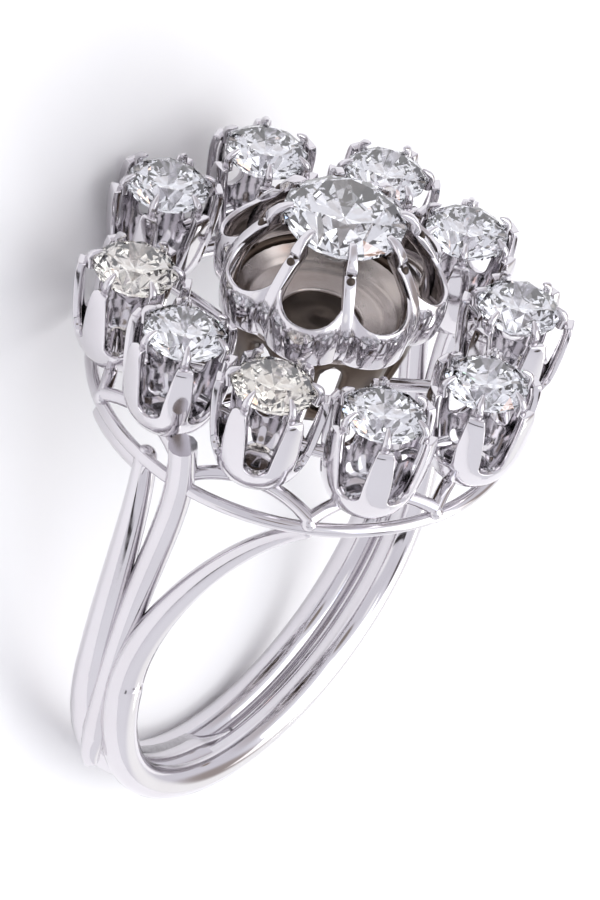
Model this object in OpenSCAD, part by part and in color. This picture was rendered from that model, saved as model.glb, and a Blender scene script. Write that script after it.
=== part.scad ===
// Cluster ring: ten round stones in claw collets round a raised centre stone,
// on a scalloped wire gallery, with three-wire shoulders and a two-wire shank.
// Drawn upright with +Z through the centre stone, then laid on its side.

/* [Shank] */
// Clear width of the finger hole
bore_d = 16.9; // [16:0.1:19]
// Thickness of each of the two shank wires
shank_wire_d = 1.5; // [1.3:0.05:1.7]
// Distance between the two shank wires, centre to centre
shank_wire_pitch = 1.6; // [1.45:0.05:1.7]
// Height of the small stones' girdles above the middle of the finger hole
head_rise = 15.6; // [15.2:0.1:17]

/* [Shoulders] */
// Thickness of the outer shoulder wires
strand_d = 1.28; // [1.1:0.02:1.4]
// Thickness of the middle shoulder wire that ends in a domed tip
tip_wire_d = 1.16; // [1:0.02:1.3]
// How far the tip ends below the small stones' girdles
tip_drop = 3.4; // [3.2:0.1:3.8]

/* [Gallery] */
// Width of the lower gallery ring, middle of its wire
gallery_d = 16.9; // [16.6:0.1:17.4]
// Thickness of the gallery wires
gallery_wire_d = 0.56; // [0.5:0.02:0.64]
// Depth of the lower gallery ring below the small stones' girdles
gallery_drop = 5.3; // [5.2:0.05:5.6]

/* [Small stones and collets] */
// Width of each small stone
small_stone_d = 3.3; // [3:0.05:3.4]
// Width of the circle the small stones stand on
cluster_d = 15.08; // [14.9:0.05:15.6]
// Height of a collet from its base to the girdle
collet_h = 4.1; // [3.9:0.05:4.2]
// Metal outside the girdle of a small stone
claw_t = 0.29; // [0.24:0.01:0.32]
// Width of a collet's openings at the top
opening_w = 1.5; // [1.3:0.05:1.6]
// How far the openings are turned from facing straight out
opening_turn = 12; // [0:1:20]
// How far the cluster is turned on the shank
head_turn = 5; // [0:0.5:6]

/* [Centre head] */
// Width of the centre stone
centre_stone_d = 4.9; // [4.6:0.05:5]
// Height of the centre stone's girdle above the small ones
centre_rise = 3.3; // [3.2:0.05:3.6]
// Height of the fluted dish's rim above the small stones' girdles
rim_rise = -0.26; // [-0.4:0.02:-0.1]
// Width of the fluted dish across its petals
dish_d = 9.0; // [8.8:0.05:9.1]
// Thickness of the dish's wall
dish_wall = 0.28; // [0.24:0.02:0.36]
// Width of each of the eight prongs
prong_w = 0.5; // [0.42:0.02:0.56]

/* [Hidden] */

stone_count = 10;
step = 360 / stone_count;
petal_count = 8;
petal_step = 360 / petal_count;
// plan angle of the first prong
prong_turn = 41;

// how far a wire's next piece starts inside the one before
lead = 0.25;

// room left round every stone
seat_gap = 0.05;

// each collet's own place: degrees round the head, share of the stone's width out
collet_place = [[-0.8, -0.17], [-2.9, 0.06], [-2.4, 0.07], [0.1, 0], [1.2, -0.15],
                [-0.6, 0.02], [-0.7, 0.13], [-0.5, 0.1], [5.3, 0.03], [0.4, -0.145]];

// radius of one petal of the dish, radius of the well under the centre stone
petal_r = 1.62;
well_r = 1.95;
prong_h = centre_rise - rim_rise;

wire_fn = 16;
path_fn = 64;

bore_r = bore_d / 2;
shank_r = shank_wire_d / 2;
// the wires reach a little into the hole so that the bore leaves them a flat
shank_mid_r = bore_r - 0.05 + shank_r;
shank_half = shank_wire_pitch / 2;
gallery_r = gallery_d / 2;
gallery_wire_r = gallery_wire_d / 2;
gallery_z = head_rise - gallery_drop;
scallop_z = gallery_z + gallery_wire_d * 0.82;
cluster_r = cluster_d / 2;
strand_r = strand_d / 2;
tip_wire_r = tip_wire_d / 2;

// the ring rests on the lower gallery wire and one shank wire
rest_run = head_rise - gallery_drop + shank_mid_r;
rest_side = gallery_r - shank_half;
rest_tilt = atan2(rest_side, rest_run)
          - asin((shank_r - gallery_wire_r) / norm([rest_side, rest_run]));
rest_lift = shank_r + shank_half * cos(rest_tilt) + shank_mid_r * sin(rest_tilt);
// and its middle, from the shank's outside to the prongs' tips, is on the origin
rest_back = shank_mid_r * cos(rest_tilt) + shank_half * sin(rest_tilt) + shank_r;
rest_front = (head_rise + centre_rise + 0.56) * cos(rest_tilt)
           + (centre_stone_d / 2 - 0.14) * sin(rest_tilt);

// a point at a plan angle measured from -X towards -Y
function around(angle, r, z) = [-r * cos(angle), -r * sin(angle), z];
function unit(v) = v / norm(v);

// where collet k stands, seen from above, and its plan angle
function seat_angle(k) = step * (k + 0.5) + collet_place[k][0];
function seat_r(k) = cluster_r + collet_place[k][1] * small_stone_d;
function seat(k, z) = around(seat_angle(k), seat_r(k), z);

// one wire along the circle through three points
module arc_wire(a, m, b, r) {
    along = unit(b - a);
    normal = unit(cross(along, m - a));
    side = cross(normal, along);
    span = norm(b - a);
    mx = (m - a) * along;
    my = (m - a) * side;
    k = (mx * mx + my * my - span * mx) / (2 * my);
    centre = a + along * span / 2 + side * k;
    big_r = norm(a - centre);
    x = unit(a - centre);
    z = -normal;
    y = cross(z, x);
    raw = atan2((b - centre) * y, (b - centre) * x);
    sweep = raw < 0 ? raw + 360 : raw;
    multmatrix([[x[0], y[0], z[0], centre[0]],
                [x[1], y[1], z[1], centre[1]],
                [x[2], y[2], z[2], centre[2]],
                [0, 0, 0, 1]])
        rotate_extrude(angle = sweep, $fn = path_fn)
            translate([big_r, 0])
                circle(r, $fn = wire_fn);
}

// one straight round bar between two points
module bar(a, b, r1, r2) {
    z = unit(b - a);
    x = unit(cross(abs(z[2]) > 0.9 ? [1, 0, 0] : [0, 0, 1], z));
    y = cross(z, x);
    multmatrix([[x[0], y[0], z[0], a[0]],
                [x[1], y[1], z[1], a[1]],
                [x[2], y[2], z[2], a[2]],
                [0, 0, 0, 1]])
        cylinder(h = norm(b - a), r1 = r1, r2 = r2, $fn = wire_fn);
}

module shank() {
    color("gainsboro")
    rotate([90, 0, 0]) {
        for (side = [-1, 1])
            translate([0, 0, side * shank_half])
                rotate([0, 0, -180])
                    rotate_extrude(angle = 180, $fn = path_fn)
                        translate([shank_mid_r, 0])
                            circle(shank_r, $fn = wire_fn);
        // the web that closes the inside between the wires
        rotate([0, 0, -175])
            rotate_extrude(angle = 170, $fn = path_fn)
                translate([bore_r - 0.2, -shank_half])
                    square([shank_r + 0.05, shank_wire_pitch]);
    }
}

// a point on the curve with four control points
function curve(c, t) =
    c[0] * pow(1 - t, 3) + c[1] * 3 * t * pow(1 - t, 2)
    + c[2] * 3 * t * t * (1 - t) + c[3] * pow(t, 3);

// which way it runs there
function heading(c, t) = unit(
    (c[1] - c[0]) * pow(1 - t, 2) + (c[2] - c[1]) * 2 * t * (1 - t) + (c[3] - c[2]) * t * t);

// where two arcs meet smoothly between a and b, with those headings at the ends
function joint(a, at, b, bt) = let (
    v = b - a,
    w = v * (at + bt),
    q = 2 * (1 - at * bt),
    d = (sqrt(w * w + q * (v * v)) - w) / q)
    (a + b + d * (at - bt)) / 2;

// the heading at the far end of an arc from a to b that starts with heading at
function turned(a, at, b) = let (c = unit(b - a)) 2 * (at * c) * c - at;

// one wire along the arc that leaves a with that heading and ends at b;
// it starts a little early, inside the thicker piece before it
module led_wire(a, at, b, r) {
    chord = b - a;
    side = cross(unit(cross(at, chord)), at);
    big_r = chord * chord / (2 * (chord * side));
    centre = a + side * big_r;
    x = -side;
    z = cross(x, at);
    multmatrix([[x[0], at[0], z[0], centre[0]],
                [x[1], at[1], z[1], centre[1]],
                [x[2], at[2], z[2], centre[2]],
                [0, 0, 0, 1]])
        rotate([0, 0, -lead / big_r * 180 / PI])
            rotate_extrude(angle = 2 * acos(at * unit(chord)) + lead / big_r * 180 / PI,
                           $fn = path_fn)
                translate([big_r, 0])
                    circle(r, $fn = wire_fn);
}

// a wire along the whole curve in smoothly joined arcs, two to a part,
// each thinner than the one before
module curved_wire(c, r1, r2, parts) {
    for (k = [0 : parts - 1]) {
        thin = (r1 - r2) / (2 * parts - 1);
        a = curve(c, k / parts);
        at = heading(c, k / parts);
        b = curve(c, (k + 1) / parts);
        bt = heading(c, (k + 1) / parts);
        m = joint(a, at, b, bt);
        led_wire(a, at, m, r1 - thin * 2 * k);
        led_wire(m, turned(a, at, m), b, r1 - thin * (2 * k + 1));
    }
}

// the three wires of one shoulder; turn = 0 near side, 180 far side
module shoulder(turn) {
    foot_x = -shank_mid_r;
    low_z = gallery_z - gallery_wire_r - 0.22;
    rail_r = strand_r * 0.62;
    right_end = around(head_turn + step, gallery_r - 0.05, low_z);
    left_end = around(head_turn - step * 0.38, gallery_r - 0.2, gallery_z - 0.1);
    right = [[foot_x, -shank_half, 0], [foot_x, -shank_half, 3.3],
             right_end + [-1, 2.9, -2], right_end];
    left = [[foot_x, shank_half, 0], [foot_x, shank_half, 3.4],
            left_end + [-0.43, -0.55, -1.95], left_end];
    tip = around(head_turn, gallery_r + tip_wire_r * 0.72, head_rise - tip_drop - tip_wire_r * 0.4);
    middle = [[foot_x, 0, -3], [foot_x - 0.15, 0, 5.6], tip + [1.05, 0, -4.4],
              tip + [-0.12, 0, 0.45]];
    color("gainsboro")
    rotate([0, 0, turn]) {
        curved_wire(right, shank_r - 0.03, strand_r - 0.01, 2);
        curved_wire(left, shank_r - 0.03, strand_r - 0.01, 2);
        // the left wire runs on under the gallery ring
        arc_wire(around(head_turn - step * 0.3, gallery_r - 0.1, low_z + 0.05),
                 around(head_turn - step * 0.66, gallery_r - 0.1, low_z + 0.05),
                 around(head_turn - step, gallery_r - 0.1, low_z + 0.05), rail_r);
        curved_wire(middle, tip_wire_r + 0.06, tip_wire_r, 2);
    }
}

module gallery() {
    color("gainsboro")
    rotate([0, 0, head_turn]) {
        translate([0, 0, gallery_z])
            rotate_extrude($fn = path_fn)
                translate([gallery_r, 0])
                    circle(gallery_wire_r, $fn = wire_fn);
        for (k = [0 : stone_count - 1]) {
            left = around(step * k, gallery_r, scallop_z);
            right = around(step * (k + 1), gallery_r, scallop_z);
            under = around(step * (k + 0.5), cluster_r + 0.1, head_rise - collet_h - 0.12);
            arc_wire(left, under, right, gallery_wire_r * 0.96);
            // bead of solder over the scallops' meeting ends
            translate(around(step * k, gallery_r + 0.01, scallop_z - 0.06))
                sphere(gallery_wire_r * 1.3, $fn = wire_fn);
            // solder bar between neighbouring collets
            next = (k + 1) % stone_count;
            low = head_rise - collet_h * 0.62;
            reach = unit(seat(next, low) - seat(k, low)) * small_stone_d * 0.38;
            bar(seat(k, low) + reach, seat(next, low) - reach, 0.27, 0.27);
            // spoke that carries the collet from the centre basket
            bar(around(seat_angle(k), 2.2, head_rise - 4.72),
                seat(k, head_rise - collet_h - 0.28), 0.3, 0.3);
        }
    }
}

// section of a collet, out from its axis, height from the girdle
function collet_section() = let (
    r = small_stone_d / 2,
    o = r + claw_t,
    s = r + seat_gap,
    h = collet_h)
    [[0, -h], [o * 0.42, -h], [o * 0.64, -h * 0.93], [o * 0.84, -h * 0.72],
     [o * 0.94, -h * 0.45], [o, -h * 0.22], [o, -h * 0.1], [o - 0.15, -h * 0.05],
     [o - 0.12, 0.12], [r * 0.99, 0.44], [r * 0.87, 0.47], [r * 0.87, 0.31],
     [s, 0.12], [s, -0.1], [s * 0.84, -0.34], [o * 0.62, -h * 0.35],
     [o * 0.5, -h * 0.68], [0, -h * 0.72]];

module opening_shape() {
    r = small_stone_d;
    low = -collet_h * 0.58;
    polygon([[-0.4, low], [0.4, low], [opening_w / 2, 1], [-opening_w / 2, 1]]);
    translate([0, low])
        circle(0.4, $fn = wire_fn);
}

module collet() {
    difference() {
        rotate_extrude($fn = 24)
            polygon(collet_section());
        for (k = [0 : 2])
            rotate([90, 0, 90 + opening_turn + 60 * k])
                linear_extrude(height = small_stone_d * 2, center = true)
                    opening_shape();
    }
}

module collets() {
    color("gainsboro")
    rotate([0, 0, head_turn])
        for (k = [0 : stone_count - 1])
            translate(seat(k, head_rise))
                rotate([0, 0, seat_angle(k)])
                    collet();
}

// section of one prong, out from the head's axis, height from the rim
function prong_section() = let (
    g = centre_stone_d / 2,
    top = centre_rise - rim_rise,
    s = g + seat_gap,
    notch = dish_d * 0.45)
    [[notch, -0.25], [notch + 0.08, 0.02], [s + 0.45, top - 0.86], [s + 0.2, top - 0.74],
     [s + 0.22, top - 0.06], [s + 0.1, top + 0.34], [g - 0.14, top + 0.56],
     [g - 0.37, top + 0.54], [g - 0.35, top + 0.4], [s, top + 0.12], [s, top - 0.08],
     [g * 0.9, top - 0.36], [g * 0.86, top - 0.9], [g * 0.84, top * 0.4],
     [g * 0.88, 0.5], [g * 0.9, -0.2]];

// eight leaning cones that flare the dish; inset = how far inside its outline
module petals(inset, low, high) {
    lean_out = 0.15;
    lean_in = 0.2;
    for (k = [0 : petal_count - 1])
        rotate([0, 0, petal_step * (k + 0.5)])
            translate([petal_r - dish_d / 2 - lean_out * low, 0, low])
                rotate([0, -atan(lean_out), 0])
                    cylinder(h = (high - low) / cos(atan(lean_out)),
                             r1 = petal_r - inset - lean_in * low,
                             r2 = petal_r - inset - lean_in * high, $fn = 20);
}

// everything of the head is drawn from the dish's rim
module at_head() {
    translate([0, 0, head_rise + rim_rise])
        rotate([0, 0, head_turn + prong_turn])
            children();
}

// fluted wall with a round scoop between each pair of prongs
module head_wall() {
    difference() {
        petals(0, -0.15, prong_h * 0.66);
        petals(dish_wall, -0.4, prong_h * 0.74);
        translate([0, 0, -0.5])
            cylinder(h = prong_h, r1 = dish_d / 2 - 0.95, r2 = dish_d / 2 - 2.1, $fn = 32);
        translate([0, 0, -1])
            cylinder(h = 1, r = dish_d, $fn = 32);
        for (k = [0 : petal_count - 1])
            rotate([0, 0, petal_step * (k + 0.5)])
                translate([-2, 0, prong_h * 0.78])
                    rotate([0, -90, 0])
                        cylinder(h = 4, r = 1.36, $fn = 20);
    }
}

// dish floor with its lip, sloping to the well under the stone
module head_dish() {
    floor_r = dish_d / 2 - 0.6;
    difference() {
        union() {
            petals(-0.1, -0.3, 0.14);
            translate([0, 0, -1.6])
                cylinder(h = 1.55, r1 = well_r + 0.25, r2 = floor_r - 0.2, $fn = 32);
        }
        translate([0, 0, -0.95])
            cylinder(h = 1.15, r1 = well_r, r2 = floor_r + 0.1, $fn = 32);
        translate([0, 0, -1.35])
            cylinder(h = 1, r = well_r - 0.25, $fn = 32);
    }
}

module head_prongs() {
    for (k = [0 : petal_count - 1])
        rotate([0, 0, petal_step * k])
            rotate([90, 0, 180])
                linear_extrude(height = prong_w, center = true)
                    polygon(prong_section());
}

// cone below the dish with a window under every second petal
module head_basket() {
    base = -4.5 - rim_rise;
    difference() {
        rotate_extrude($fn = 32)
            polygon([[3.5, -0.3], [3.45, -1.3], [3.1, -2.6], [2.6, base],
                     [2.25, base], [2.8, -2.5], [3.15, -1.2], [3.2, -0.3]]);
        for (k = [0 : 3])
            rotate([0, 0, petal_step * k])
                translate([-5, -0.75, base + 0.6])
                    cube([10, 1.5, 2.9]);
    }
}

module centre_head() {
    color("gainsboro")
    at_head() {
        head_wall();
        head_dish();
        head_prongs();
        head_basket();
    }
}

// round brilliant: table, eight stars, eight kites and sixteen halves above
// the girdle, eight mains and sixteen halves below it
module brilliant(d) {
    g = d * 0.015;
    top = d * 0.155 + g;
    culet = -d * 0.43 - g;
    table_r = d * 0.29;
    star_r = d * 0.4;
    low_r = d * 0.13;
    rim_r = d / 2;
    up_slope = (top - g) / (rim_r - table_r);
    low_slope = (-g - culet) / rim_r;
    star_z = g + (rim_r - star_r * cos(22.5)) * up_slope;
    low_z = culet + low_r * cos(22.5) * low_slope;
    points = concat(
        [for (k = [0 : 7]) [table_r * cos(45 * k + 22.5), table_r * sin(45 * k + 22.5), top]],
        [for (k = [0 : 7]) [star_r * cos(45 * k), star_r * sin(45 * k), star_z]],
        [for (k = [0 : 15]) [rim_r * cos(22.5 * k), rim_r * sin(22.5 * k), g]],
        [for (k = [0 : 15]) [rim_r * cos(22.5 * k), rim_r * sin(22.5 * k), -g]],
        [for (k = [0 : 7]) [low_r * cos(45 * k), low_r * sin(45 * k), low_z]],
        [[0, 0, culet]]);
    t = 0;
    s = 8;
    u = 16;
    v = 32;
    w = 48;
    faces = concat(
        [[for (k = [7 : -1 : 0]) t + k]],
        [for (k = [0 : 7]) [t + k, t + (k + 1) % 8, s + (k + 1) % 8]],
        [for (k = [0 : 7]) [t + k, s + (k + 1) % 8, u + 2 * k + 1, s + k]],
        [for (k = [0 : 7]) [s + k, u + 2 * k + 1, u + 2 * k]],
        [for (k = [0 : 7]) [s + (k + 1) % 8, u + (2 * k + 2) % 16, u + 2 * k + 1]],
        [for (k = [0 : 15]) [u + k, u + (k + 1) % 16, v + (k + 1) % 16, v + k]],
        [for (k = [0 : 7]) [v + 2 * k, v + 2 * k + 1, w + k]],
        [for (k = [0 : 7]) [v + 2 * k + 1, v + (2 * k + 2) % 16, w + (k + 1) % 8]],
        [for (k = [0 : 7]) [v + 2 * k + 1, w + (k + 1) % 8, w + 8, w + k]]);
    polyhedron(points, faces);
}

module small_stone(k) {
    color("aliceblue")
    laid_down()
        rotate([0, 0, head_turn])
            translate(seat(k, head_rise))
                rotate([0, 0, 37 * k])
                    brilliant(small_stone_d);
}

module laid_down() {
    translate([0, (rest_back - rest_front) / 2, rest_lift])
        rotate([rest_tilt - 90, 0, 0])
            children();
}

module setting() {
    laid_down()
        difference() {
            union() {
                shank();
                shoulder(0);
                shoulder(180);
                gallery();
                collets();
                centre_head();
            }
            rotate([90, 0, 0])
                cylinder(h = 30, r = bore_r, center = true, $fn = 96);
        }
}

module centre_stone() {
    color("aliceblue")
    laid_down()
        translate([0, 0, head_rise + centre_rise])
            rotate([0, 0, head_turn + 8])
                brilliant(centre_stone_d);
}

module stone_1() { small_stone(0); }
module stone_2() { small_stone(1); }
module stone_3() { small_stone(2); }
module stone_4() { small_stone(3); }
module stone_5() { small_stone(4); }
module stone_6() { small_stone(5); }
module stone_7() { small_stone(6); }
module stone_8() { small_stone(7); }
module stone_9() { small_stone(8); }
module stone_10() { small_stone(9); }

setting();
centre_stone();
stone_1();
stone_2();
stone_3();
stone_4();
stone_5();
stone_6();
stone_7();
stone_8();
stone_9();
stone_10();
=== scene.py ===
import bpy
import bmesh
from math import atan2, asin, hypot, sin, cos, tan, pi, radians, degrees, sqrt
from mathutils import Matrix, Vector


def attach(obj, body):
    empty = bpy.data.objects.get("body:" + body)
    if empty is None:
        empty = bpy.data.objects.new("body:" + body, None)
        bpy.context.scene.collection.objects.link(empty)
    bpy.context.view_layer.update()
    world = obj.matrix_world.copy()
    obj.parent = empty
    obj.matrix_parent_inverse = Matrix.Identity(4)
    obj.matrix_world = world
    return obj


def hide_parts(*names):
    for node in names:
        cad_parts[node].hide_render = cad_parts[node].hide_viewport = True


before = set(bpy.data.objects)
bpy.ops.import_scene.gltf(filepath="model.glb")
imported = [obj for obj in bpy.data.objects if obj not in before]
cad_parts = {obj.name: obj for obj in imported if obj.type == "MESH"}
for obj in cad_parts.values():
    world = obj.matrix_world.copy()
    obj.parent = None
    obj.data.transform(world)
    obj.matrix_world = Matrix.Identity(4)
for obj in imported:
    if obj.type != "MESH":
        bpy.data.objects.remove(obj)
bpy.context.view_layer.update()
print("frame loaded")

# sizes shared by several pieces, in millimetres, drawn with the ring upright
ring = {
    "boreR": 8.45, "shankWireR": 0.75, "shankMidR": 9.15, "wireHalf": 0.8,
    "headRise": 15.6, "headTurn": 5, "galleryR": 8.45, "galleryWireR": 0.28, "galleryDrop": 5.3,
    "clusterR": 7.54, "stoneD": 3.3, "colletH": 4.1,
    "centreD": 4.9, "centreRise": 3.3, "rimRise": -0.26,
    "clawRise": 0.56, "clawIn": 0.14,  # highest point of the centre claws, from the stone's edge
}
# each collet's own place: degrees round the head, share of the stone's width out
colletPlace = [(-0.8, -0.17), (-2.9, 0.06), (-2.4, 0.07), (0.1, 0), (1.2, -0.15),
               (-0.6, 0.02), (-0.7, 0.13), (-0.5, 0.1), (5.3, 0.03), (0.4, -0.145)]
pitch = 360 / len(colletPlace)
galleryZ = ring["headRise"] - ring["galleryDrop"]
mergeDist = 1e-5


def restingMatrix():
    # the upright ring tips over until the gallery ring and one shank wire touch the floor
    run = galleryZ + ring["shankMidR"]
    side = ring["galleryR"] - ring["wireHalf"]
    tilt = atan2(side, run) - asin((ring["shankWireR"] - ring["galleryWireR"]) / hypot(side, run))
    lift = ring["shankWireR"] + ring["wireHalf"] * cos(tilt) + ring["shankMidR"] * sin(tilt)
    back = ring["shankMidR"] * cos(tilt) + ring["wireHalf"] * sin(tilt) + ring["shankWireR"]
    front = ((ring["headRise"] + ring["centreRise"] + ring["clawRise"]) * cos(tilt)
             + (ring["centreD"] / 2 - ring["clawIn"]) * sin(tilt))
    place = Matrix.Translation((0, (back - front) / 2, lift)) @ Matrix.Rotation(tilt - pi / 2, 4, "X")
    return Matrix.Scale(0.001, 4) @ place


toRow = restingMatrix()


def around(angle, r, z):
    # plan angle in degrees from -X towards -Y
    a = radians(angle)
    return Vector((-r * cos(a), -r * sin(a), z))


def seat(k, z):
    # the middle of small stone k, at a height
    turn, out = colletPlace[k]
    angle = ring["headTurn"] + pitch * (k + 0.5) + turn
    return around(angle, ring["clusterR"] + out * ring["stoneD"], z)


def toLinear(code):
    parts = [int(code[i:i + 2], 16) / 255 for i in (1, 3, 5)]
    return tuple(c / 12.92 if c <= 0.04045 else ((c + 0.055) / 1.055) ** 2.4 for c in parts) + (1,)


def addNode(tree, kind, inputs=None, **settings):
    made = tree.nodes.new(kind)
    for name, value in settings.items():
        setattr(made, name, value)
    for name, value in (inputs or {}).items():
        socket = made.inputs[name]
        if isinstance(value, bpy.types.NodeSocket):
            tree.links.new(value, socket)
        else:
            socket.default_value = value
    return made


def finishPiece(mesh, name, material):
    # from the upright ring in millimetres to the row's frame in metres
    bmesh.ops.transform(mesh, matrix=toRow, verts=mesh.verts)
    data = bpy.data.meshes.new(name)
    for face in mesh.faces:
        face.smooth = True
    mesh.to_mesh(data)
    mesh.free()
    data.materials.append(material)
    piece = bpy.data.objects.new(name, data)
    bpy.context.scene.collection.objects.link(piece)
    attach(piece, "root")
    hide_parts("setting")


def addWire(mesh, points, radii, steps, sides=3):
    # a round wire through bezier points, each (place, handle back, handle on)
    curve = bpy.data.curves.new("wire", "CURVE")
    curve.dimensions = "3D"
    curve.resolution_u = steps
    curve.bevel_depth = 1
    curve.bevel_resolution = sides
    curve.use_fill_caps = True
    curve.twist_mode = "MINIMUM"
    spline = curve.splines.new("BEZIER")
    spline.bezier_points.add(len(points) - 1)
    spline.radius_interpolation = "LINEAR"
    for target, (place, back, on), radius in zip(spline.bezier_points, points, radii):
        target.co, target.handle_left, target.handle_right = place, back, on
        target.radius = radius
    holder = bpy.data.objects.new("wire", curve)
    bpy.context.scene.collection.objects.link(holder)
    view = bpy.context.evaluated_depsgraph_get()
    data = bpy.data.meshes.new_from_object(holder.evaluated_get(view))
    mesh.from_mesh(data)
    bpy.data.objects.remove(holder)
    bpy.data.curves.remove(curve)
    bpy.data.meshes.remove(data)


def addArc(mesh, a, middle, b, radius, steps):
    # a round wire along one smooth bow from a through the middle to b
    control = middle * 2 - (a + b) / 2
    first, last = a + (control - a) * (2 / 3), b + (control - b) * (2 / 3)
    points = [(a, a - (first - a), first), (b, last, b + (b - last))]
    addWire(mesh, points, [radius, radius], steps)


def addBead(mesh, place, radius, squash=1.0, up=Vector((0, 0, 1)), detail=12):
    turn = up.to_track_quat("Z", "Y").to_matrix().to_4x4()
    size = Matrix.Diagonal((radius, radius, radius * squash, 1))
    bmesh.ops.create_uvsphere(mesh, u_segments=detail, v_segments=detail // 2 + 2, radius=1,
                              matrix=Matrix.Translation(place) @ turn @ size)


def append(mesh, part, matrix=None):
    # puts a finished part into the mesh, moved by the matrix, and frees it
    if matrix is not None:
        bmesh.ops.transform(part, matrix=matrix, verts=part.verts)
    data = bpy.data.meshes.new("part")
    part.to_mesh(data)
    part.free()
    mesh.from_mesh(data)
    bpy.data.meshes.remove(data)


def addSpin(mesh, profile, steps, matrix=None, angle=360):
    # a closed profile of (radius, height) turned about Z
    part = bmesh.new()
    verts = [part.verts.new((r, 0, z)) for r, z in profile]
    edges = [part.edges.new(pair) for pair in zip(verts, verts[1:] + verts[:1])]
    bmesh.ops.spin(part, geom=verts + edges, cent=(0, 0, 0), axis=(0, 0, 1), steps=steps,
                   angle=radians(angle), use_merge=angle == 360)
    bmesh.ops.remove_doubles(part, verts=part.verts, dist=mergeDist)
    bmesh.ops.holes_fill(part, edges=[e for e in part.edges if e.is_boundary], sides=0)
    append(mesh, part, matrix)


def tidyNormals(mesh):
    bmesh.ops.remove_doubles(mesh, verts=mesh.verts, dist=mergeDist)
    bmesh.ops.recalc_face_normals(mesh, faces=mesh.faces)


def spread(table, x):
    # smooth curve through a table of (x, y)
    last = len(table) - 1
    i = 0
    while i < last - 1 and x > table[i + 1][0]:
        i += 1
    (x0, y0), (x1, y1) = table[i], table[i + 1]
    before = table[i - 1] if i > 0 else (2 * x0 - x1, 2 * y0 - y1)
    after = table[i + 2] if i + 2 <= last else (2 * x1 - x0, 2 * y1 - y0)
    m0 = (y1 - before[1]) / (x1 - before[0]) * (x1 - x0)
    m1 = (after[1] - y0) / (after[0] - x0) * (x1 - x0)
    t = min(max((x - x0) / (x1 - x0), 0), 1)
    return ((2 * t ** 3 - 3 * t * t + 1) * y0 + (t ** 3 - 2 * t * t + t) * m0
            + (3 * t * t - 2 * t ** 3) * y1 + (t ** 3 - t * t) * m1)


def addSheet(mesh, columns, rows, shape):
    # a grid whose points are placed by shape(u, v), u from -1 to 1, v from 0 to 1
    for v in bmesh.ops.create_grid(mesh, x_segments=columns, y_segments=rows, size=1)["verts"]:
        v.co = shape(v.co.x, (v.co.y + 1) / 2)


def softenEdges(mesh, sharp, width, segments, clamp=True):
    # rounds the edges that turn by more than the angle
    edges = [e for e in mesh.edges if e.calc_face_angle(0) > radians(sharp)]
    bmesh.ops.bevel(mesh, geom=edges, offset=width, offset_type="OFFSET", segments=segments,
                    profile=0.5, affect="EDGES", clamp_overlap=clamp, material=-1)


def thicken(mesh, wall):
    # gives a sheet its wall, inwards
    tidyNormals(mesh)
    bmesh.ops.solidify(mesh, geom=list(mesh.faces), thickness=-wall)
    bmesh.ops.recalc_face_normals(mesh, faces=mesh.faces)


def startMaterial(name):
    made = bpy.data.materials.new(name)
    made.use_nodes = True
    tree = made.node_tree
    place = addNode(tree, "ShaderNodeTexCoord").outputs["Object"]
    return made, tree, tree.nodes["Principled BSDF"], place


def mottle(tree, place, scale, detail, low, high):
    # soft patches from one tone to another: the pattern and its colour
    cloud = addNode(tree, "ShaderNodeTexNoise", {"Vector": place, "Scale": scale, "Detail": detail})
    tone = addNode(tree, "ShaderNodeMix", {"Factor": cloud.outputs["Fac"], "A": toLinear(low),
                                           "B": toLinear(high)}, data_type="RGBA")
    return cloud.outputs["Fac"], tone.outputs["Result"]


def scaleOf(mm):
    # noise scale on metre coordinates for patches this wide
    return 1000 / mm


# patch and scratch widths in millimetres, dents in metres
polish = {"low": "#D3CFD2", "high": "#DDDBDF", "patch": 3.85, "scratch": 0.667, "gloss": (0.05, 0.17),
          "dent": 0.00006, "dentStrength": 0.25}
dull = {"patch": 1.11, "glossRange": 0.2}
cut = {"patch": 1.43, "bend": 2.417}


def polishedGold():
    # rhodium-plated white gold, polished: nearly a mirror, with fine wear and a faint unevenness
    made, tree, shader, place = startMaterial("polished white gold")
    cloud, tone = mottle(tree, place, scaleOf(polish["patch"]), 3.0, polish["low"], polish["high"])
    wear = addNode(tree, "ShaderNodeTexNoise", {"Vector": place, "Scale": scaleOf(polish["scratch"]),
                                                "Detail": 5.0, "Roughness": 0.7})
    least, most = polish["gloss"]
    gloss = addNode(tree, "ShaderNodeMapRange", {"Value": wear.outputs["Fac"], "From Min": 0.35,
                                                 "From Max": 0.75, "To Min": least, "To Max": most})
    dent = addNode(tree, "ShaderNodeBump", {"Height": cloud, "Strength": polish["dentStrength"],
                                            "Distance": polish["dent"]})
    shader.inputs["Metallic"].default_value = 1.0
    tree.links.new(tone, shader.inputs["Base Color"])
    tree.links.new(gloss.outputs["Result"], shader.inputs["Roughness"])
    tree.links.new(dent.outputs["Normal"], shader.inputs["Normal"])
    return made


def roughDarkGold(name, low, high, rough):
    # rougher white gold in darker tones; on the pits, the well and the basket under the head the dark
    # brown is painted shade, with some tarnish on the basket
    made, tree, shader, place = startMaterial(name)
    cloud, tone = mottle(tree, place, scaleOf(dull["patch"]), 4.0, low, high)
    gloss = addNode(tree, "ShaderNodeMapRange", {"Value": cloud, "To Min": rough,
                                                 "To Max": rough + dull["glossRange"]})
    shader.inputs["Metallic"].default_value = 1.0
    tree.links.new(tone, shader.inputs["Base Color"])
    tree.links.new(gloss.outputs["Result"], shader.inputs["Roughness"])
    return made


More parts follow.
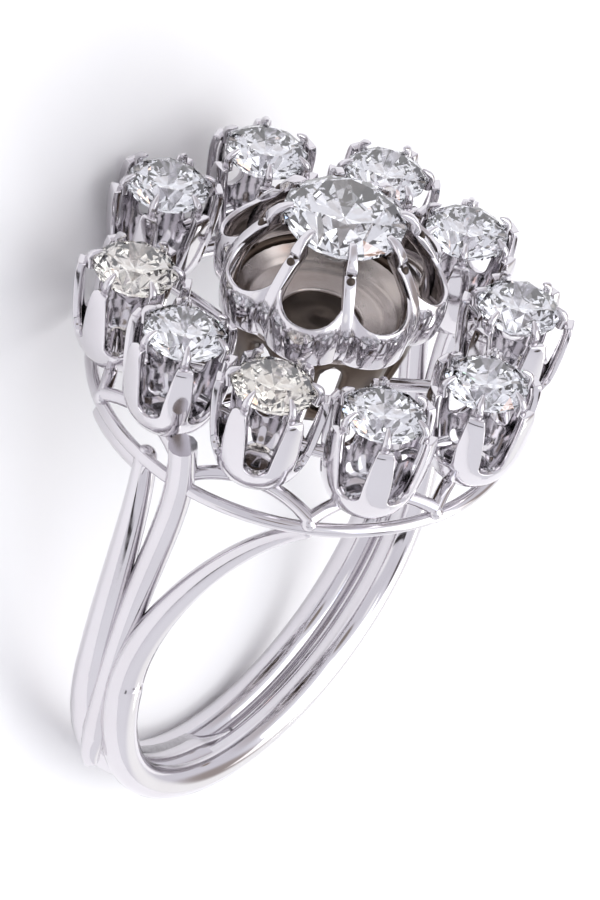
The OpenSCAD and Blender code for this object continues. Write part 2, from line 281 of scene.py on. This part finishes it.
def diamond(name, code):
    # cut diamond, clear, with the high bend of light that gives the glitter
    made, tree, shader, place = startMaterial(name)
    tone = mottle(tree, place, scaleOf(cut["patch"]), 2.0, code, "#FFFFFF")[1]
    tree.links.new(tone, shader.inputs["Base Color"])
    shader.inputs["Roughness"].default_value = 0.0
    shader.inputs["IOR"].default_value = cut["bend"]
    shader.inputs["Transmission Weight"].default_value = 1.0
    return made


gold = polishedGold()
# darker and warmer than the polished metal, for the dish and its lip
turnedGold = roughDarkGold("turned white gold", "#A89D96", "#CBC4C0", 0.14)
# dark brown for the basket under the head: painted shade, with some tarnish
shadedBasketGold = roughDarkGold("unpolished white gold, painted shade", "#3A2F27", "#6E6157", 0.22)
# near black for the claw pits, the prong pits and the well: painted shade in hollows
pitShadeGold = roughDarkGold("white gold, painted pit shade", "#2E2826", "#6A6058", 0.3)
clearDiamond = diamond("diamond", "#F4F8FF")
warmDiamond = diamond("tinted diamond", "#FBF3DC")
print("materials made")

# shank: two round wires, solder between them and a smooth web inside the near half
shank = {
    "rimTurns": (-180, -135, -90, -45, 0), "neckR": 0.735, "footRise": 0.3, "shortPull": 0.1,
    "overrun": 0.1,  # share of the last handle that runs on past a wire's end
    "wireSteps": 26, "wireSides": 4, "solderSteps": 60, "webSteps": 40, "beadDetail": 16,
    # sections as (radius, side), with the angle where each begins and how far it runs
    "solder": [(9.0, -0.4), (9.42, -0.34), (9.42, 0.34), (9.0, 0.4)],
    "solderFrom": -178, "solderSweep": 176,
    "web": [(8.44, -0.72), (8.44, 0.72), (9.1, 0.72), (9.1, -0.72)],
    "webFrom": -174, "webSweep": 91,
    # the web's inside goes out by a share over its last degrees
    "thinOver": 16, "thinShare": 0.07, "thinInside": 8.6,
    # what is filed to the finger's size: radius over this, height under this
    "filedOver": 7.5, "filedUnder": 2,
}
# outer shoulder wires: side of the shank, the end's turn from the head's, its place in from the
# gallery ring and above it, its pull and radius, and the height of the bend at the foot
shoulder = {
    "right": {"side": -1, "turn": 36, "inset": 0.05, "rise": -0.2, "pull": (-1, 2.9, -2),
              "endR": 0.3, "bend": 3.5},
    "left": {"side": 1, "turn": -13.7, "inset": 0.2, "rise": -0.1, "pull": (-0.43, -0.55, -1.95),
             "endR": 0.47, "bend": 3.6},
    "bendOut": 0.05, "splay": 1.06,
}


def strandPoints(which, turn):
    # the curve of one shoulder wire: foot, bend, pull and end
    wire = shoulder[which]
    y = ring["wireHalf"] * wire["side"]
    end = around(ring["headTurn"] + wire["turn"], ring["galleryR"] - wire["inset"],
                 galleryZ + wire["rise"])
    pull = end + Vector(wire["pull"])
    foot = Vector((-ring["shankMidR"], y, shank["footRise"]))
    bend = Vector((-ring["shankMidR"] - shoulder["bendOut"], y * shoulder["splay"], wire["bend"]))
    spin = Matrix.Rotation(radians(turn), 3, "Z")
    return [spin @ p for p in (foot, bend, pull, end)]


def aroundFinger(start):
    # turns what was spun about Z to run round the finger hole, from an angle on
    return Matrix.Rotation(pi / 2, 4, "X") @ Matrix.Rotation(radians(start), 4, "Z")


def shankWire(mesh, near, far):
    # one wire from shoulder to shoulder, round the finger
    r = ring["shankMidR"]
    arcPull = 4 / 3 * tan(radians(45 / 4)) * r  # handle for 45 degrees of a circle
    short = shank["shortPull"]
    down = Vector((0, 0, short))
    y = ring["wireHalf"] * shoulder[near]["side"]
    a = strandPoints(near, 0)
    b = strandPoints(far, 180)
    points = [(a[3], a[3] + (a[3] - a[2]) * shank["overrun"], a[2]), (a[0], a[1], a[0] - down)]
    for t in shank["rimTurns"]:
        place = Vector((r * cos(radians(t)), y, r * sin(radians(t))))
        way = Vector((-sin(radians(t)), 0, cos(radians(t))))
        back = short if t == shank["rimTurns"][0] else arcPull
        on = short if t == shank["rimTurns"][-1] else arcPull
        points.append((place, place - way * back, place + way * on))
    points += [(b[0], b[0] - down, b[1]), (b[3], b[2], b[3] + (b[3] - b[2]) * shank["overrun"])]
    firstR, lastR = shoulder[near]["endR"], shoulder[far]["endR"]
    rimRadii = [ring["shankWireR"]] * len(shank["rimTurns"])
    addWire(mesh, points, [firstR, shank["neckR"]] + rimRadii + [shank["neckR"], lastR],
            shank["wireSteps"], shank["wireSides"])
    for end, radius in ((a[3], firstR), (b[3], lastR)):
        # rounds off the wire, a hair inside its surface
        addBead(mesh, end, radius * 0.99, detail=shank["beadDetail"])


def makeShank():
    mesh = bmesh.new()
    shankWire(mesh, "right", "left")
    shankWire(mesh, "left", "right")
    addSpin(mesh, shank["solder"], shank["solderSteps"], aroundFinger(shank["solderFrom"]),
            shank["solderSweep"])
    web = bmesh.new()
    addSpin(web, shank["web"], shank["webSteps"], None, shank["webSweep"])
    for v in web.verts:
        past = degrees(atan2(v.co.y, v.co.x)) - shank["webSweep"] + shank["thinOver"]
        if hypot(v.co.x, v.co.y) < shank["thinInside"]:
            grow = 1 + shank["thinShare"] * max(past, 0) / shank["thinOver"]
            v.co.x *= grow
            v.co.y *= grow
    append(mesh, web, aroundFinger(shank["webFrom"]))
    for v in mesh.verts:
        out = hypot(v.co.x, v.co.z)
        if shank["filedOver"] < out < ring["boreR"] and v.co.z < shank["filedUnder"]:
            v.co.x *= ring["boreR"] / out
            v.co.z *= ring["boreR"] / out
    bmesh.ops.recalc_face_normals(mesh, faces=mesh.faces)
    finishPiece(mesh, "shank_wires", gold)


# middle wire of each shoulder: places and pulls of its curve, its radii, and its flat-cut tip
middleWire = {
    "footIn": 0.1, "footZ": -4.6, "footPull": (-0.3, 0, 0.6), "startZ": -3, "startBack": (0, 0, -0.5),
    "startOn": (-9.3, 0, 5.6), "tipOut": 0.32, "tipDrop": 3.63, "tipPull": (1.05, 0, -4.4),
    "tipLength": 0.62, "tipHandle": 0.05, "radii": [0.34, 0.56, 0.58, 0.58],
    "rimAngle": 60, "rimRound": 0.16, "steps": 24, "sides": 4,
}


def makeTips():
    # the middle wires, their ends cut flat beside the gallery
    mesh = bmesh.new()
    foot = Vector((middleWire["footIn"] - ring["shankMidR"], 0, middleWire["footZ"]))
    footPull = Vector(middleWire["footPull"])
    start = Vector((-ring["shankMidR"], 0, middleWire["startZ"]))
    tip = around(ring["headTurn"], ring["galleryR"] + middleWire["tipOut"],
                 ring["headRise"] - middleWire["tipDrop"])
    pull = tip + Vector(middleWire["tipPull"])
    lead = tip - pull
    short = lead * middleWire["tipHandle"]
    top = tip + lead.normalized() * middleWire["tipLength"]
    points = [(foot, foot - footPull, foot + footPull),
              (start, start + Vector(middleWire["startBack"]), Vector(middleWire["startOn"])),
              (tip, pull, tip + short), (top, top - short, top + short)]
    for turn in (0, 180):
        spin = Matrix.Rotation(radians(turn), 3, "Z")
        addWire(mesh, [[spin @ p for p in point] for point in points], middleWire["radii"],
                middleWire["steps"], middleWire["sides"])
    softenEdges(mesh, middleWire["rimAngle"], middleWire["rimRound"], 3, clamp=False)
    finishPiece(mesh, "shoulder_tips", gold)


makeShank()
makeTips()
print("shank made")

gallery = {
    "scallopR": 0.29, "beadR": 0.33, "barR": 0.27, "spokeR": 0.28, "railR": 0.397,
    "ringSides": 12, "ringSteps": 120, "bowSteps": 20, "barSteps": 6, "spokeSteps": 4, "railSteps": 12,
    "beadDetail": 14,
    "cuspRise": 0.46, "beadRise": 0.3, "beadOut": 0.06,  # from the gallery ring
    "bowOut": 0.1, "bowDrop": 0.09,  # middle of a scallop, from the collets' circle and their feet
    "barShare": 0.62, "barReach": 1.25,  # solder bars: share of the collets' height down, half gap
    "spokeInR": 2.2, "spokeInZ": 10.85, "spokeDrop": 0.2,
    # rail under the gallery ring, where the shoulder wires are soldered on
    "railTurns": (-10.8, -23.8, -36), "railIn": 0.1, "railDrop": 0.17,
}


def makeGallery():
    mesh = bmesh.new()
    r = ring["galleryWireR"]
    sides = [2 * pi * i / gallery["ringSides"] for i in range(gallery["ringSides"])]
    addSpin(mesh, [(ring["galleryR"] + r * cos(a), galleryZ + r * sin(a)) for a in sides],
            gallery["ringSteps"])
    head = ring["headTurn"]
    colletFoot = ring["headRise"] - ring["colletH"]
    for k in range(len(colletPlace)):
        # scalloped wire from cusp to cusp, with a bead of solder
        foot, other = [around(head + pitch * i, ring["galleryR"], galleryZ + gallery["cuspRise"])
                       for i in (k, k + 1)]
        bow = around(head + pitch * (k + 0.5), ring["clusterR"] + gallery["bowOut"],
                     colletFoot - gallery["bowDrop"])
        addArc(mesh, foot, bow, other, gallery["scallopR"], gallery["bowSteps"])
        bead = around(head + pitch * k, ring["galleryR"] + gallery["beadOut"],
                      galleryZ + gallery["beadRise"])
        addBead(mesh, bead, gallery["beadR"], detail=gallery["beadDetail"])
        # solder between neighbouring collets, spoke to the centre basket
        low = ring["headRise"] - ring["colletH"] * gallery["barShare"]
        a, b = seat(k, low), seat((k + 1) % len(colletPlace), low)
        reach = (b - a).normalized() * gallery["barReach"]
        addArc(mesh, a + reach, (a + b) / 2, b - reach, gallery["barR"], gallery["barSteps"])
        inner = around(head + pitch * (k + 0.5) + colletPlace[k][0], gallery["spokeInR"],
                       gallery["spokeInZ"])
        outer = seat(k, colletFoot - gallery["spokeDrop"])
        addArc(mesh, inner, (inner + outer) / 2, outer, gallery["spokeR"], gallery["spokeSteps"])
    low = galleryZ - r - gallery["railDrop"]
    for turn in (0, 180):
        rail = [around(head + turn + t, ring["galleryR"] - gallery["railIn"], low)
                for t in gallery["railTurns"]]
        addArc(mesh, *rail, gallery["railR"], gallery["railSteps"])
    bmesh.ops.recalc_face_normals(mesh, faces=mesh.faces)
    finishPiece(mesh, "gallery_wires", gold)


makeGallery()
print("gallery made")

collet = {
    # height from the girdle, radius outside
    "outline": [(-4.12, 0.0), (-4.1, 0.5), (-4.04, 0.86), (-3.86, 1.14), (-3.5, 1.39), (-3.0, 1.59),
                (-2.3, 1.75), (-1.4, 1.87), (-0.6, 1.94), (-0.3, 1.93), (-0.1, 1.9)],
    "claws": 6, "columns": 8, "wall": 0.34, "rimAngle": 50, "rimRound": 0.055,
    # windows: middle of the round foot, its radius, half width at the girdle, curve of the sides,
    # and the least radius that their angle is worked out on
    "windowLow": -2.5, "windowR": 0.42, "windowTop": 0.72, "windowPower": 1.2, "windowLeast": 0.6,
    # heights of the cup's rows, of the rows above a window's foot, and the claws' top and rows
    "cupRows": [-4.12, -4.1, -4.04, -3.86, -3.5, -3.2],
    "windowRows": [0, 0.02, 0.07, 0.16, 0.28, 0.42], "top": -0.12, "clawRows": 9,
    # claw over the stone, (out, up) of each point, of its handles back and on, and its radius
    "claw": [((1.74, -0.35), (1.74, -0.45), (1.74, -0.15), 0.2),
             ((1.80, 0.06), (1.80, -0.06), (1.80, 0.18), 0.19),
             ((1.66, 0.34), (1.76, 0.28), (1.56, 0.40), 0.15),
             ((1.40, 0.50), (1.48, 0.50), (1.35, 0.50), 0.07)],
    # each pit is a flattened dark bead on the wall, painted shade for a hollow
    "clawSteps": 4, "clawSides": 2, "pit": (1.92, -0.26), "pitR": 0.15, "pitFlat": 0.5, "pitDetail": 10,
    "turns": [41, 46, 57, 48, 46, 48, 44, 47, 46, 54],  # of each collet about its own stone
}


def colletRows():
    # heights from the foot to the claws, close together where the windows begin
    low = collet["windowLow"] - collet["windowR"]
    rows = collet["cupRows"] + [low + step for step in collet["windowRows"]]
    start, count = rows[-1], collet["clawRows"]
    return rows + [start + (collet["top"] - start) * i / count for i in range(1, count + 1)]


def windowHalf(z):
    # half the width of a collet's window at a height
    up = z - collet["windowLow"]
    if up > 0:
        grow = (up / -collet["windowLow"]) ** collet["windowPower"]
        return collet["windowR"] + (collet["windowTop"] - collet["windowR"]) * grow
    return sqrt(max(collet["windowR"] ** 2 - up ** 2, 0))


def makeCollet():
    # one collet about its stone's middle, and under its claws flattened dark beads that paint the shade
    # of the pits
    one = bmesh.new()
    dots = bmesh.new()
    rows = colletRows()
    share = 360 / collet["claws"]
    for part in range(collet["claws"]):
        def shape(u, v):
            z = rows[round(v * (len(rows) - 1))]
            r = spread(collet["outline"], z)
            wide = share / 2 - degrees(asin(min(windowHalf(z) / max(r, collet["windowLeast"]), 1)))
            a = radians(share * part + u * wide)
            return Vector((-r * cos(a), -r * sin(a), z))
        addSheet(one, collet["columns"], len(rows) - 1, shape)
    thicken(one, collet["wall"])
    softenEdges(one, collet["rimAngle"], collet["rimRound"], 2)
    for part in range(collet["claws"]):
        points = [[around(share * part, out, up) for out, up in row[:3]] for row in collet["claw"]]
        addWire(one, points, [row[3] for row in collet["claw"]], collet["clawSteps"],
                collet["clawSides"])
        addBead(dots, around(share * part, *collet["pit"]), collet["pitR"], collet["pitFlat"],
                around(share * part, 1, 0), collet["pitDetail"])
    return one, dots


def makeCollets():
    mesh = bmesh.new()
    pits = bmesh.new()
    one, dots = makeCollet()
    for k, turn in enumerate(collet["turns"]):
        turn += ring["headTurn"] + pitch * (k + 0.5) + colletPlace[k][0]
        where = Matrix.Translation(seat(k, ring["headRise"])) @ Matrix.Rotation(radians(turn), 4, "Z")
        append(mesh, one.copy(), where)
        append(pits, dots.copy(), where)
    one.free()
    dots.free()
    finishPiece(pits, "claw_pit_shade", pitShadeGold)
    finishPiece(mesh, "collets", gold)


makeCollets()
print("collets made")

# centre head, heights measured from its rim
head = {
    # height, radius of the prongs' outer faces
    "outline": [(-0.3, 4.12), (0, 4.18), (0.6, 4.27), (1.2, 4.25), (1.8, 4.06), (2.4, 3.72),
                (2.8, 3.42), (3.1, 3.15), (3.4, 2.85)],
    "turn": 46, "lobe": 45, "foot": -0.3, "wall": 0.17, "rimAngle": 50, "rimRound": 0.04,
    "columns": 18, "rows": 12,
    # lobes: in at the prongs, out between them, and the height where they have flattened
    "notchIn": 0.4, "peakOut": 0.28, "flatAt": 3.6,
    # scoop between two prongs: lowest point, rise, half width and where it is taken, squareness
    "scoopLow": 1.38, "scoopRise": 1.6, "scoopWide": 1.4, "scoopAt": 1.5, "scoopPower": 2.6,
}
dish = {
    "lipOut": 0.03, "lipHalf": 0.16, "lipZ": -0.06, "lipHigh": 0.2, "lipColumns": 256, "lipRows": 10,
    "floorSteps": 64, "wellSteps": 48,
    # (radius, height) of the floor with its turned steps, then of its underside
    "floor": [(4.1, -0.25), (3.95, 0.0), (3.6, -0.45), (3.2, -0.95), (3.0, -1.06), (2.92, -1.2),
              (2.72, -1.2), (2.66, -1.3), (2.4, -1.31), (2.33, -1.38), (1.72, -1.4), (1.6, -1.5),
              (1.6, -1.75), (2.1, -1.85), (3.3, -1.3)],
    "well": [(0.02, -1.5), (0.88, -1.52), (0.96, -1.55), (1.63, -1.56), (1.63, -1.7), (0.02, -1.72)],
}


def headPlace(turn):
    rim = Matrix.Translation((0, 0, ring["headRise"] + ring["rimRise"]))
    return rim @ Matrix.Rotation(radians(head["turn"] + turn), 4, "Z")


def finishHead(mesh, name, material):
    # lobed pieces are drawn with a lobe ahead, half a turn of a lobe from a prong
    bmesh.ops.transform(mesh, matrix=headPlace(head["lobe"] / 2), verts=mesh.verts)
    finishPiece(mesh, name, material)


def lobeRadius(delta, z):
    # radius of a lobe at an angle from its middle, at a height
    side = spread(head["outline"], z)
    notch = side - head["notchIn"]
    peak = side + head["peakOut"] * (1 - (max(z, 0) / head["flatAt"]) ** 2)
    half = radians(head["lobe"] / 2)
    h = notch * sin(half)
    s = peak - notch * cos(half)
    rho = (h * h + s * s) / (2 * s)
    c = peak - rho
    return c * cos(delta) + sqrt(max(rho * rho - (c * sin(delta)) ** 2, 0))


def makePetals():
    mesh = bmesh.new()
    power = head["scoopPower"]
    for k in range(360 // head["lobe"]):
        def shape(u, v):
            delta = radians(head["lobe"] / 2) * u
            y = abs(lobeRadius(delta, head["scoopAt"]) * sin(delta)) / head["scoopWide"]
            top = head["scoopLow"] + head["scoopRise"] * (1 - max(1 - y ** power, 0) ** (1 / power))
            z = head["foot"] + (top - head["foot"]) * v
            r = lobeRadius(delta, z)
            a = radians(head["lobe"] * k) + delta
            return Vector((-r * cos(a), -r * sin(a), z))
        addSheet(mesh, head["columns"], head["rows"], shape)
    thicken(mesh, head["wall"])
    softenEdges(mesh, head["rimAngle"], head["rimRound"], 2)
    finishHead(mesh, "head_petals", gold)


def makeDish():
    half = radians(head["lobe"] / 2)

    def lip(u, v):
        # the round lip under the petals, lobed like them
        a = pi * u
        middle = lobeRadius((a + half) % (2 * half) - half, 0) + dish["lipOut"] - dish["lipHalf"]
        t = 2 * pi * v
        r = middle + dish["lipHalf"] * cos(t)
        return Vector((-r * cos(a), -r * sin(a), dish["lipZ"] + dish["lipHigh"] * sin(t)))

    mesh = bmesh.new()
    addSheet(mesh, dish["lipColumns"], dish["lipRows"], lip)
    addSpin(mesh, dish["floor"], dish["floorSteps"])
    tidyNormals(mesh)
    finishHead(mesh, "head_dish", turnedGold)
    # the well at the bottom of the dish is near black: painted shade in the hollow
    mesh = bmesh.new()
    addSpin(mesh, dish["well"], dish["wellSteps"])
    tidyNormals(mesh)
    finishHead(mesh, "head_well", pitShadeGold)


prong = {
    "wide": 0.52, "edgeAngle": 60, "edgeRound": 0.07, "stoneGap": 0.05,
    # side view: foot, heights along the head's outline, the neck, then from the stone's edge
    # (out, up) over the claw and its notch, then down the back as (radius, height)
    "foot": (3.9, -0.3), "heights": (-0.1, 0.4, 0.9, 1.4, 1.9, 2.35, 2.75), "neck": (3.24, 3.0),
    "claw": [(0.5, -0.42), (0.56, -0.2), (0.42, 0.1), (0.16, 0.38), (-0.15, 0.52), (-0.42, 0.54),
             (-0.4, 0.42), (0, 0.12), (0, -0.08), (-0.1235, -0.4)],
    "back": [(2.9, 2.61), (3.35, 2.0), (3.6, 1.2), (3.62, 0.2)],
    # narrower half way up by a share, and over the stone by another
    "waist": 0.10, "taper": 0.45, "taperFrom": 0.95, "taperOver": 0.2,
    # the pit is a flattened dark bead, painted shade under each claw
    "pit": (-3.2, 0, 3.04), "pitWay": (-1, 0, 0.45), "pitR": 0.18, "pitFlat": 0.5,
}


def makeProngs():
    edge = ring["centreD"] / 2 + prong["stoneGap"]
    top = ring["centreRise"] - ring["rimRise"]
    section = [prong["foot"]] + [(spread(head["outline"], z), z) for z in prong["heights"]]
    section += [prong["neck"]] + [(edge + out, top + up) for out, up in prong["claw"]] + prong["back"]
    one = bmesh.new()
    face = one.faces.new([one.verts.new((-r, -prong["wide"] / 2, z)) for r, z in section])
    out = bmesh.ops.extrude_face_region(one, geom=[face])
    moved = [v for v in out["geom"] if isinstance(v, bmesh.types.BMVert)]
    bmesh.ops.translate(one, vec=(0, prong["wide"], 0), verts=moved)
    bmesh.ops.recalc_face_normals(one, faces=one.faces)
    for v in one.verts:
        t = v.co.z / top
        waist = prong["waist"] * sin(pi * min(max(t, 0), 1))
        taper = prong["taper"] * min(max(t - prong["taperFrom"], 0) / prong["taperOver"], 1)
        v.co.y *= 1 - waist - taper
    softenEdges(one, prong["edgeAngle"], prong["edgeRound"], 3)
    # dark bead of painted shade for the pit under each claw
    dot = bmesh.new()
    addBead(dot, Vector(prong["pit"]), prong["pitR"], prong["pitFlat"], Vector(prong["pitWay"]), 12)
    mesh = bmesh.new()
    pits = bmesh.new()
    for k in range(360 // head["lobe"]):
        place = headPlace(head["lobe"] * k)
        append(mesh, one.copy(), place)
        append(pits, dot.copy(), place)
    one.free()
    dot.free()
    finishPiece(pits, "head_pit_shade", pitShadeGold)
    finishPiece(mesh, "head_prongs", gold)


basket = {
    "outline": [(-4.2, 2.6), (-3.4, 2.86), (-2.6, 3.1), (-1.3, 3.42), (-0.3, 3.5)],
    "low": -4.2, "high": -0.3, "wall": 0.35,
    "windowLow": -3.7, "windowHigh": -0.8, "windowHalf": 0.42, "windowRound": 0.4,
    "columns": 6, "rows": 18,
}


def makeBasket():
    # the pierced cone that carries the dish, coloured dark brown: painted shade under the head, with
    # some tarnish
    mesh = bmesh.new()
    for k in range(360 // head["lobe"]):
        def shape(u, v):
            z = basket["low"] + (basket["high"] - basket["low"]) * v
            half = 0.0
            if basket["windowLow"] < z < basket["windowHigh"]:
                end = min(z - basket["windowLow"], basket["windowHigh"] - z) / basket["windowRound"]
                half = basket["windowHalf"] * min(1, end) ** 0.5
            r = spread(basket["outline"], z)
            a = radians(head["lobe"] * k + u * (head["lobe"] / 2 - degrees(asin(half / r))))
            return Vector((-r * cos(a), -r * sin(a), z))
        addSheet(mesh, basket["columns"], basket["rows"], shape)
    thicken(mesh, basket["wall"])
    finishHead(mesh, "head_basket", shadedBasketGold)


makePetals()
makeDish()
makeProngs()
makeBasket()
print("centre head made")

# stones keep the frame's own cut shapes
warmStones = ("stone_1", "stone_9")
for name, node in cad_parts.items():
    if "stone" in name:
        for spot in node.material_slots:
            spot.material = warmDiamond if name in warmStones else clearDiamond
print("stones set")


paper = {"low": "#F8F8F8", "high": "#FBFBFB", "patch": 25, "rough": 0.9, "half": 1.2}


def makeFloor():
    # plain white paper floor, one flat square
    made, tree, shader, place = startMaterial("white paper")
    tone = mottle(tree, place, scaleOf(paper["patch"]), 2.0, paper["low"], paper["high"])[1]
    tree.links.new(tone, shader.inputs["Base Color"])
    shader.inputs["Roughness"].default_value = paper["rough"]
    mesh = bmesh.new()
    bmesh.ops.create_grid(mesh, x_segments=1, y_segments=1, size=paper["half"])
    data = bpy.data.meshes.new("floor")
    mesh.to_mesh(data)
    mesh.free()
    data.materials.append(made)
    floor = bpy.data.objects.new("floor", data)
    bpy.context.scene.collection.objects.link(floor)


tent = {
    "low": "#D2D1D9", "high": "#E0DFE6", "strength": 1.2, "patchScale": 2.2,
    # azimuth, elevation, half width, softness in degrees, colour there
    "patches": [(305, 22, 16, 16, "#FFFFFF"), (248, 3, 16, 34, "#E9E9EF"), (182, -2, 8, 12, "#FDFDFF"),
                (338, 38, 8, 18, "#A39A97"), (75, 35, 14, 26, "#C2BDC0"), (145, 38, 6, 5, "#8A817B"),
                (20, 12, 3, 2, "#8C7F76"), (112, 62, 5, 3, "#57504B"), (262, 48, 4, 3, "#4E4744"),
                (100, 84, 22, 25, "#EEEFF6"), (60, 68, 3, 1, "#FF9C50"), (190, 52, 5, 2, "#FFFFFF"),
                (350, 70, 5, 3, "#FFFFFF"), (225, 66, 3, 1, "#58A8FF"), (150, 74, 2, 1, "#7BE8A8")],
    # a narrow dark flag beside the light, from one direction to the other, its half width and the
    # softness of its sides in degrees, and how far along its half length the ends begin to fade
    "flag": [(192, -4), (231, 33)], "flagWidth": 3.2, "flagSoft": 1.5, "flagFade": 2 / 2.3,
    "flagTone": "#2E2A2B",
}


def toWay(azimuth, elevation):
    a, e = radians(azimuth), radians(elevation)
    return Vector((cos(a) * cos(e), sin(a) * cos(e), sin(e)))


def makeWorld():
    # a white tent with soft brighter and darker parts, and a narrow black flag
    world = bpy.data.worlds.new("tent")
    bpy.context.scene.world = world
    world.use_nodes = True
    tree = world.node_tree
    way = addNode(tree, "ShaderNodeTexCoord").outputs["Generated"]
    tone = mottle(tree, way, tent["patchScale"], 2.0, tent["low"], tent["high"])[1]
    for azimuth, elevation, size, soft, code in tent["patches"]:
        near = addNode(tree, "ShaderNodeVectorMath", {0: way, 1: toWay(azimuth, elevation)},
                       operation="DOT_PRODUCT")
        part = addNode(tree, "ShaderNodeMapRange", {
            "Value": near.outputs["Value"], "From Min": cos(radians(size + soft)),
            "From Max": cos(radians(size))}, interpolation_type="SMOOTHSTEP")
        tone = addNode(tree, "ShaderNodeMix", {"Factor": part.outputs["Result"], "A": tone,
                                               "B": toLinear(code)}, data_type="RGBA").outputs["Result"]
    a, b = [toWay(*w) for w in tent["flag"]]
    off = addNode(tree, "ShaderNodeVectorMath", {0: way, 1: a.cross(b).normalized()},
                  operation="DOT_PRODUCT")
    off = addNode(tree, "ShaderNodeMath", {0: off.outputs["Value"]}, operation="ABSOLUTE")
    band = addNode(tree, "ShaderNodeMapRange", {
        "Value": off.outputs["Value"], "From Min": sin(radians(tent["flagWidth"])),
        "From Max": sin(radians(tent["flagWidth"] - tent["flagSoft"]))})
    near = addNode(tree, "ShaderNodeVectorMath", {0: way, 1: (a + b).normalized()},
                   operation="DOT_PRODUCT")
    half = a.angle(b) / 2
    reach = addNode(tree, "ShaderNodeMapRange", {
        "Value": near.outputs["Value"], "From Min": cos(half),
        "From Max": cos(half * tent["flagFade"])})
    part = addNode(tree, "ShaderNodeMath", {0: band.outputs["Result"], 1: reach.outputs["Result"]},
                   operation="MULTIPLY")
    tone = addNode(tree, "ShaderNodeMix", {"Factor": part.outputs["Value"], "A": tone,
                                           "B": toLinear(tent["flagTone"])}, data_type="RGBA")
    back = tree.nodes["Background"]
    tree.links.new(tone.outputs["Result"], back.inputs["Color"])
    back.inputs["Strength"].default_value = tent["strength"]


# name, place and side in metres, watts; all aim at the middle of the ring
lamps = [("softbox", toWay(305, 58) * 0.7, 0.5, 0.9), ("overhead", Vector((0.05, 0, 0.9)), 0.9, 2.6),
         ("spark", toWay(302, 26) * 0.6, 0.12, 0.2)]
ringMiddle = Vector((0, 0, 0.009))


def makeLamp(name, place, side, power):
    lamp = bpy.data.lights.new(name, "AREA")
    lamp.shape = "SQUARE"
    lamp.size = side
    lamp.energy = power
    holder = bpy.data.objects.new(name, lamp)
    bpy.context.scene.collection.objects.link(holder)
    holder.location = place
    holder.rotation_euler = (ringMiddle - place).to_track_quat("-Z", "Y").to_euler()


# the photograph's angle to the upright ring in degrees, and what it looks at, in millimetres
# across and along the picture from the girdles' plane
shot = {"azimuth": 31.1, "elevation": 39.9, "roll": 13.8, "left": 1.115, "down": 6.48,
        "away": 300, "lens": 309, "sensor": 36}


def makeCamera():
    a, e, roll = radians(shot["azimuth"]), radians(shot["elevation"]), radians(shot["roll"])
    sight = Vector((-cos(a) * cos(e), -sin(a) * cos(e), sin(e)))
    right = Vector((sin(a), -cos(a), 0))
    upward = Vector((cos(a) * sin(e), sin(a) * sin(e), cos(e)))
    across = right * cos(roll) + upward * sin(roll)
    along = upward * cos(roll) - right * sin(roll)
    look = Vector((0, 0, ring["headRise"])) - across * shot["left"] - along * shot["down"]
    lens = bpy.data.cameras.new("camera")
    lens.sensor_width = shot["sensor"]
    lens.lens = shot["lens"]
    lens.clip_start, lens.clip_end = 0.01, 10
    camera = bpy.data.objects.new("camera", lens)
    bpy.context.scene.collection.objects.link(camera)
    turnRow = toRow.to_3x3() * 1000
    facing = Matrix((turnRow @ across, turnRow @ along, turnRow @ sight)).transposed()
    camera.matrix_world = Matrix.Translation(toRow @ (look + sight * shot["away"])) @ facing.to_4x4()
    bpy.context.scene.camera = camera


makeCamera()
makeFloor()
makeWorld()
for lamp in lamps:
    makeLamp(*lamp)
bpy.context.scene.view_settings.view_transform = "Standard"
print("stage made")
